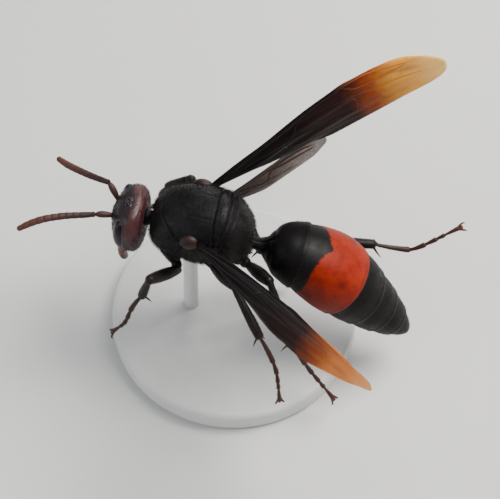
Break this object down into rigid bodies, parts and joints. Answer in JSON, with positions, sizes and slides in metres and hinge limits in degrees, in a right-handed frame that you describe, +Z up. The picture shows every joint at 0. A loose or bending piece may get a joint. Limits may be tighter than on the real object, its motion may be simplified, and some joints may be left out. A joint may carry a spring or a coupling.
{
  "type": "greater banded hornet",
  "caption": "Life-size still model of a large dark hornet in flight, with one orange-red band on its abdomen and amber wing tips, held on a plain round stand.",
  "frame": {"origin": "centre of the underside of the stand's base", "axes": "+Z up, the hornet faces -X, its left side is -Y"},
  "size_m": [0.035, 0.0304, 0.0234],
  "materials": {
    "shell_black": "near-black, finely pitted, soft gloss",
    "shell_maroon": "dark maroon-brown, soft gloss",
    "eye_facets": "very dark red-brown, glossy, finely faceted",
    "shell_red_brown": "dark reddish brown, satin",
    "wing_dark": "smoky black-brown to amber at the tip, satin",
    "wing_smoky": "smoky brown, satin",
    "band_orange": "orange-red, satin",
    "stand_pale": "plain pale grey, matt"
  },
  "bodies": {
    "root": {"gaster_1": "shell_black", "gaster_3": "shell_black", "gaster_4": "shell_black", "gaster_5": "shell_black", "gaster_6": "shell_black", "prothorax": "shell_black", "mesothorax": "shell_black", "metathorax": "shell_black", "coxa_front_l": "shell_black", "coxa_front_r": "shell_black", "coxa_mid_l": "shell_black", "coxa_mid_r": "shell_black", "coxa_hind_l": "shell_black", "coxa_hind_r": "shell_black", "femur_front_l": "shell_black", "femur_front_r": "shell_black", "femur_mid_l": "shell_black", "femur_mid_r": "shell_black", "femur_hind_l": "shell_black", "femur_hind_r": "shell_black", "tibia_front_l": "shell_black", "tibia_front_r": "shell_black", "tibia_mid_l": "shell_black", "tibia_mid_r": "shell_black", "tibia_hind_l": "shell_black", "tibia_hind_r": "shell_black", "head": "shell_maroon", "neck": "shell_maroon", "mandible_l": "shell_maroon", "mandible_r": "shell_maroon", "eye_l": "eye_facets", "eye_r": "eye_facets", "scape_l": "shell_red_brown", "scape_r": "shell_red_brown", "flagellum_l": "shell_red_brown", "flagellum_r": "shell_red_brown", "tegula_l": "shell_red_brown", "tegula_r": "shell_red_brown", "tarsus_front_l": "shell_red_brown", "tarsus_front_r": "shell_red_brown", "tarsus_mid_l": "shell_red_brown", "tarsus_mid_r": "shell_red_brown", "tarsus_hind_l": "shell_red_brown", "tarsus_hind_r": "shell_red_brown", "forewing_l": "wing_dark", "forewing_r": "wing_dark", "hindwing_l": "wing_smoky", "hindwing_r": "wing_smoky", "gaster_2": "band_orange", "stand_base": "stand_pale", "stand_rod": "stand_pale"}
  },
  "joints": []
}
